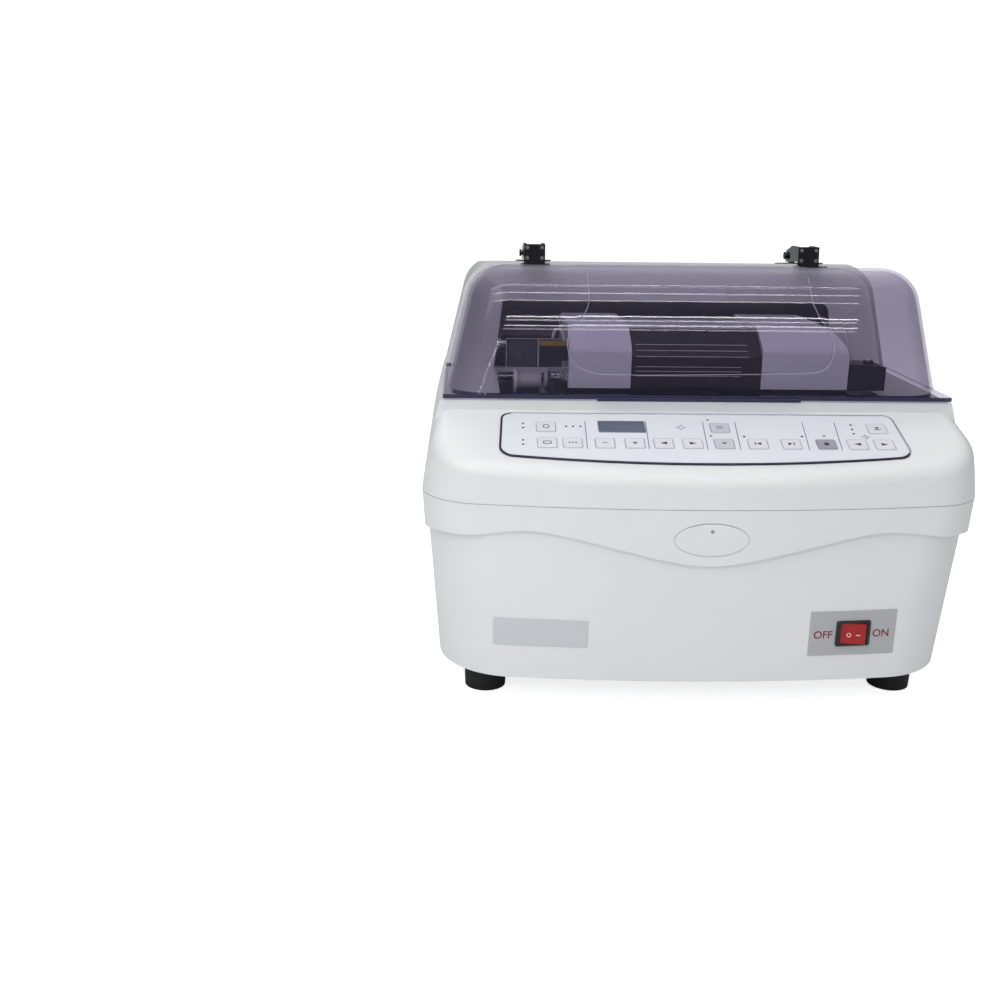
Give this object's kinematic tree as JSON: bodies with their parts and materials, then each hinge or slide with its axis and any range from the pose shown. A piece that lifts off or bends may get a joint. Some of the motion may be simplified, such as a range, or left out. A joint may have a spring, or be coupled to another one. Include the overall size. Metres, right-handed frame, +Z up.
{
  "type": "optical lens edger",
  "caption": "White bench lens edger with a smoky hinged lid over a swinging lens carriage and grinding wheels, a sloping keypad, a red power rocker and rubber feet.",
  "frame": {"origin": "middle of the footprint's box, on the bench under the feet", "axes": "+X to the right along the front, +Y towards the rear, +Z up"},
  "size_m": [0.53, 0.43, 0.4165],
  "materials": {
    "housing_white": "gloss",
    "lid_smoke": "gloss",
    "panel_silver": "satin",
    "key_grey": "satin",
    "key_dark": "satin",
    "display_slate": "gloss",
    "switch_black": "gloss",
    "rocker_red": "gloss",
    "rubber_black": "matte",
    "cast_grey": "matte",
    "steel": "brushed",
    "chrome": "polished",
    "aluminium": "satin",
    "bracket_white": "satin",
    "brass": "satin",
    "diamond_grit": "matte",
    "tub_grey": "matte",
    "motor_paint": "satin",
    "board_green": "satin",
    "cover_lilac": "gloss",
    "visor_dark": "gloss",
    "block_black": "satin",
    "plate_print": "satin",
    "pad_rubber": "matte"
  },
  "bodies": {
    "housing": {"base_housing": "housing_white", "chassis_plate": "steel", "rubber_feet": "rubber_black", "upper_cover": "housing_white", "rear_hood": "housing_white", "control_panel": "panel_silver", "display_window": "display_slate", "switch_bezel": "switch_black", "grinding_tub": "tub_grey", "machine_frame": "cast_grey", "pivot_shaft": "chrome", "guide_rail": "chrome", "spindle_bearings": "steel", "grinding_motor": "motor_paint", "drive_belt": "rubber_black", "coolant_pipe": "aluminium", "power_inlet": "switch_black", "water_inlet": "brass", "drain_outlet": "tub_grey", "hinge_leaves": "block_black", "hinge_springs": "brass", "control_board": "board_green"},
    "lid": {"lid_dome": "lid_smoke", "hinge_brackets": "bracket_white", "bracket_screws": "steel"},
    "carrier": {"traverse_carrier": "aluminium"},
    "carriage": {"carriage_frame": "aluminium", "left_arm_cover": "cover_lilac", "right_arm_cover": "cover_lilac", "carriage_bridge": "cover_lilac", "clamp_drive_block": "block_black", "guard_plate": "plate_print"},
    "visor": {"splash_visor": "visor_dark"},
    "left_shaft": {"left_lens_shaft": "chrome", "left_chuck_cup": "brass", "pattern_holder": "key_grey"},
    "quill": {"chuck_quill": "steel"},
    "right_shaft": {"right_lens_shaft": "chrome", "right_chuck_pad": "pad_rubber"},
    "spindle": {"wheel_spindle": "steel", "roughing_wheel": "diamond_grit", "bevel_wheel": "diamond_grit"},
    "rotor": {"motor_pulley": "steel"},
    "rocker": {"power_rocker": "rocker_red"},
    "rest_shoe": {"former_rest_shoe": "steel"},
    "button_lens": {"key_lens": "key_grey"},
    "button_frame": {"key_frame": "key_grey"},
    "button_mode": {"key_mode": "key_grey"},
    "button_size_down": {"key_size_down": "key_grey"},
    "button_size_up": {"key_size_up": "key_grey"},
    "button_width_down": {"key_width_down": "key_grey"},
    "button_width_up": {"key_width_up": "key_grey"},
    "button_test": {"key_test": "key_grey"},
    "button_lower": {"key_lower": "key_grey"},
    "button_start_left": {"key_start_left": "key_grey"},
    "button_start_right": {"key_start_right": "key_grey"},
    "button_stop": {"key_stop": "key_dark"},
    "button_press": {"key_press": "key_grey"},
    "button_chuck_close": {"key_chuck_close": "key_grey"},
    "button_chuck_open": {"key_chuck_open": "key_grey"}
  },
  "joints": [
    {"name": "lid_hinge", "type": "hinge", "parent": "housing", "child": "lid", "pos_m": [0, 0.12, 0.4045], "axis": [-1, 0, 0], "range_deg": [0, 75]},
    {"name": "traverse_slide", "type": "slide", "parent": "housing", "child": "carrier", "axis": [1, 0, 0], "range_m": [-0.007, 0.021]},
    {"name": "carriage_swing", "type": "hinge", "parent": "carrier", "child": "carriage", "pos_m": [0, 0.13, 0.3], "axis": [-1, 0, 0], "range_deg": [0, 10]},
    {"name": "visor_hinge", "type": "hinge", "parent": "carriage", "child": "visor", "pos_m": [0, -0.02, 0.3], "axis": [-1, 0, 0], "range_deg": [0, 60]},
    {"name": "left_shaft_turn", "type": "hinge", "parent": "carriage", "child": "left_shaft", "pos_m": [0, -0.063, 0.295], "axis": [1, 0, 0], "continuous": true},
    {"name": "quill_slide", "type": "slide", "parent": "carriage", "child": "quill", "axis": [-1, 0, 0], "range_m": [0, 0.012]},
    {"name": "right_shaft_turn", "type": "hinge", "parent": "quill", "child": "right_shaft", "pos_m": [0.05, -0.063, 0.295], "axis": [1, 0, 0], "continuous": true},
    {"name": "wheel_spin", "type": "hinge", "parent": "housing", "child": "spindle", "pos_m": [0, -0.025, 0.225], "axis": [1, 0, 0], "continuous": true},
    {"name": "motor_turn", "type": "hinge", "parent": "housing", "child": "rotor", "pos_m": [0.2, 0.13, 0.108], "axis": [1, 0, 0], "continuous": true},
    {"name": "rocker_tilt", "type": "hinge", "parent": "housing", "child": "rocker", "pos_m": [0.1414, -0.20075, 0.0777], "axis": [0, 0, 1], "range_deg": [0, 20]},
    {"name": "shoe_slide", "type": "slide", "parent": "housing", "child": "rest_shoe", "axis": [0, 0, 1], "range_m": [-0.004, 0.004]},
    {"name": "press_lens", "type": "slide", "parent": "housing", "child": "button_lens", "axis": [0, 0.3746, -0.9272], "range_m": [0, 0.0015], "stiffness_N_per_m": 200, "springref_m": -0.002},
    {"name": "press_frame", "type": "slide", "parent": "housing", "child": "button_frame", "axis": [0, 0.3746, -0.9272], "range_m": [0, 0.0015], "stiffness_N_per_m": 200, "springref_m": -0.002},
    {"name": "press_mode", "type": "slide", "parent": "housing", "child": "button_mode", "axis": [0, 0.3746, -0.9272], "range_m": [0, 0.0015], "stiffness_N_per_m": 200, "springref_m": -0.002},
    {"name": "press_size_down", "type": "slide", "parent": "housing", "child": "button_size_down", "axis": [0, 0.3746, -0.9272], "range_m": [0, 0.0015], "stiffness_N_per_m": 200, "springref_m": -0.002},
    {"name": "press_size_up", "type": "slide", "parent": "housing", "child": "button_size_up", "axis": [0, 0.3746, -0.9272], "range_m": [0, 0.0015], "stiffness_N_per_m": 200, "springref_m": -0.002},
    {"name": "press_width_down", "type": "slide", "parent": "housing", "child": "button_width_down", "axis": [0, 0.3746, -0.9272], "range_m": [0, 0.0015], "stiffness_N_per_m": 200, "springref_m": -0.002},
    {"name": "press_width_up", "type": "slide", "parent": "housing", "child": "button_width_up", "axis": [0, 0.3746, -0.9272], "range_m": [0, 0.0015], "stiffness_N_per_m": 200, "springref_m": -0.002},
    {"name": "press_test", "type": "slide", "parent": "housing", "child": "button_test", "axis": [0, 0.3746, -0.9272], "range_m": [0, 0.0015], "stiffness_N_per_m": 200, "springref_m": -0.002},
    {"name": "press_lower", "type": "slide", "parent": "housing", "child": "button_lower", "axis": [0, 0.3746, -0.9272], "range_m": [0, 0.0015], "stiffness_N_per_m": 200, "springref_m": -0.002},
    {"name": "press_start_left", "type": "slide", "parent": "housing", "child": "button_start_left", "axis": [0, 0.3746, -0.9272], "range_m": [0, 0.0015], "stiffness_N_per_m": 200, "springref_m": -0.002},
    {"name": "press_start_right", "type": "slide", "parent": "housing", "child": "button_start_right", "axis": [0, 0.3746, -0.9272], "range_m": [0, 0.0015], "stiffness_N_per_m": 200, "springref_m": -0.002},
    {"name": "press_stop", "type": "slide", "parent": "housing", "child": "button_stop", "axis": [0, 0.3746, -0.9272], "range_m": [0, 0.0015], "stiffness_N_per_m": 200, "springref_m": -0.002},
    {"name": "press_press", "type": "slide", "parent": "housing", "child": "button_press", "axis": [0, 0.3746, -0.9272], "range_m": [0, 0.0015], "stiffness_N_per_m": 200, "springref_m": -0.002},
    {"name": "press_chuck_close", "type": "slide", "parent": "housing", "child": "button_chuck_close", "axis": [0, 0.3746, -0.9272], "range_m": [0, 0.0015], "stiffness_N_per_m": 200, "springref_m": -0.002},
    {"name": "press_chuck_open", "type": "slide", "parent": "housing", "child": "button_chuck_open", "axis": [0, 0.3746, -0.9272], "range_m": [0, 0.0015], "stiffness_N_per_m": 200, "springref_m": -0.002}
  ],
  "couplings": [
    {"joint": "right_shaft_turn", "follows": "left_shaft_turn", "ratio": 1},
    {"joint": "motor_turn", "follows": "wheel_spin", "ratio": 0.66667}
  ]
}
